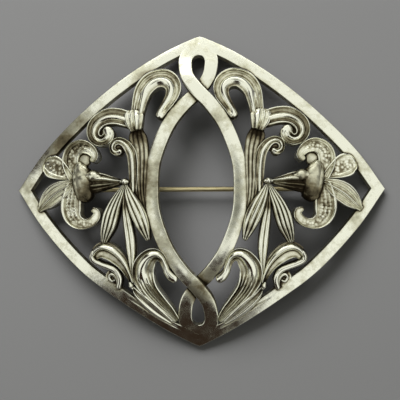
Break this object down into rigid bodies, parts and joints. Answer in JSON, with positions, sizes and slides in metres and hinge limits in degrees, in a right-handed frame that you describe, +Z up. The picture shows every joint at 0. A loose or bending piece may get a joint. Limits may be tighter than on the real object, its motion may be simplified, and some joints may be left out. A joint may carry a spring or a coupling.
{
  "type": "sash brooch",
  "caption": "Domed openwork silver sash brooch with interlaced bands round a pointed oval opening, lily scrollwork either side and a hinged pin behind.",
  "frame": {"origin": "on the table under the middle of the brooch, which lies face up on its four tips", "axes": "+Z up out of the face, +X to the right-hand tip, +Y to the top tip"},
  "size_m": [0.0748, 0.0632, 0.0098],
  "materials": {
    "silver": "cast sterling silver, worn bright on the ridges, dark tarnish in the recesses",
    "rivet_silver": "drawn silver wire, dulled",
    "pin_brass": "drawn nickel-brass wire, aged"
  },
  "bodies": {
    "front": {"openwork_front": "silver", "hinge_rivet": "rivet_silver"},
    "pin": {"pin_stem": "pin_brass"}
  },
  "joints": [
    {"name": "pin_hinge", "type": "hinge", "parent": "front", "child": "pin", "pos_m": [-0.023, 0, 0.00275], "axis": [0, 1, 0], "range_deg": [0, 100]}
  ]
}
